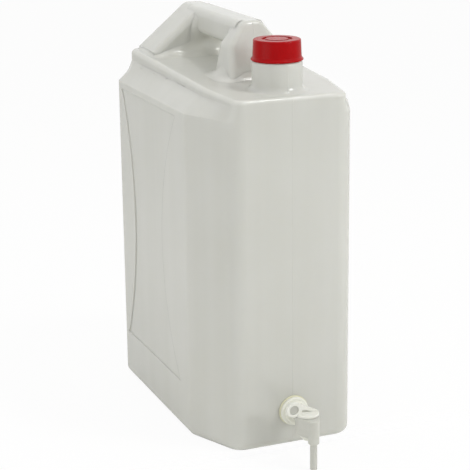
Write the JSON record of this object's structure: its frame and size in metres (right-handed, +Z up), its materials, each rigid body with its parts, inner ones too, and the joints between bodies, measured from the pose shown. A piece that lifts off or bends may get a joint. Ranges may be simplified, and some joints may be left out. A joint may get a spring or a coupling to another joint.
{
  "type": "carboy with spigot",
  "caption": "Upright moulded plastic carboy with a handle through its top, a screw cap on its neck and a quarter-turn tap low on the front wall.",
  "frame": {"origin": "on the plane the container stands on, under the middle of the front wall's outer face", "axes": "+Z up, the tap and the neck side face -Y, +X is to the right seen from the back"},
  "size_m": [0.198, 0.3648, 0.476],
  "materials": {
    "natural_polyethylene": "blow-moulded, milky and slightly glossy",
    "natural_polypropylene": "moulded, translucent white",
    "white_polypropylene": "moulded, satin white",
    "red_polypropylene": "moulded, glossy red",
    "foamed_polyethylene": "soft white sheet",
    "cream_rubber": "smooth cream"
  },
  "bodies": {
    "container": {"container_body": "natural_polyethylene", "wall_seal": "cream_rubber", "inner_seal": "cream_rubber", "back_nut": "white_polypropylene", "tap_body": "natural_polypropylene"},
    "cap_seat": {"cap_liner": "foamed_polyethylene"},
    "cap": {"screw_cap": "red_polypropylene"},
    "key": {"tap_key": "white_polypropylene", "upper_plug_seal": "cream_rubber", "lower_plug_seal": "cream_rubber", "key_clip": "white_polypropylene"}
  },
  "joints": [
    {"name": "cap_lift", "type": "slide", "parent": "container", "child": "cap_seat", "axis": [0, 0, 1], "range_m": [0, 0.024]},
    {"name": "cap_turn", "type": "hinge", "parent": "cap_seat", "child": "cap", "pos_m": [0, 0.041, 0.445], "axis": [0, 0, 1], "range_deg": [0, 1440]},
    {"name": "key_turn", "type": "hinge", "parent": "container", "child": "key", "pos_m": [0, -0.0375, 0.042], "axis": [0, 0, 1], "range_deg": [0, 90]}
  ],
  "couplings": [
    {"joint": "cap_lift", "follows": "cap_turn", "m_per_rad": 0.00095493}
  ]
}
